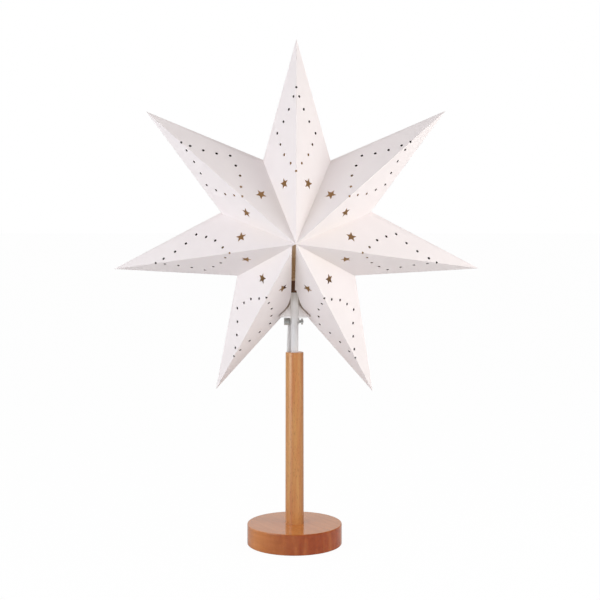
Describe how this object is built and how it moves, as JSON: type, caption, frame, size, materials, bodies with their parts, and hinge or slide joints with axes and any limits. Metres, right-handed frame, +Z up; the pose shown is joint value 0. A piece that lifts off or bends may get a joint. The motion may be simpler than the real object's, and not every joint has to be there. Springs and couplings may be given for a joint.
{
  "type": "paper star table lamp",
  "caption": "Pointed star shade of folded, pierced white card on a turned wooden rod and round foot, with its stem, seat, lampholder and bulb.",
  "frame": {"origin": "centre of the foot's underside, on the surface it stands on", "axes": "+Z up, the star's face looks to -Y, +X to the right as seen from the front"},
  "size_m": [0.474, 0.1763, 0.6487],
  "materials": {
    "white_card": "smooth uncoated white card",
    "lacquered_wood": "turned hardwood with a satin lacquer",
    "rod_wood": "turned hardwood with a satin lacquer",
    "felt": "pressed felt",
    "white_painted_steel": "satin white powder coat",
    "white_moulding": "moulded plastic",
    "zinc_plated_steel": "bright zinc plate",
    "holder_cap_moulding": "brown heat-proof moulding",
    "holder_body_moulding": "cream heat-proof moulding",
    "brass": "pressed brass",
    "opal_bulb": "opal bulb",
    "white_lead": "soft vinyl sheath",
    "outlet_rubber": "moulded rubber"
  },
  "bodies": {
    "root": {"ray_top": "white_card", "ray_upper_right": "white_card", "ray_right": "white_card", "ray_lower_right": "white_card", "ray_lower_left": "white_card", "ray_left": "white_card", "ray_upper_left": "white_card", "foot_disc": "lacquered_wood", "foot_felt": "felt", "rod": "rod_wood", "stem_tube": "white_painted_steel", "star_seat": "white_moulding", "seat_screw": "zinc_plated_steel", "seat_nut": "zinc_plated_steel", "holder_cap": "holder_cap_moulding", "stem_nut": "zinc_plated_steel", "holder_body": "holder_body_moulding", "screw_shell": "brass", "centre_contact": "brass", "bulb": "opal_bulb", "inner_lead": "white_lead", "outlet_grommet": "outlet_rubber"}
  },
  "joints": []
}
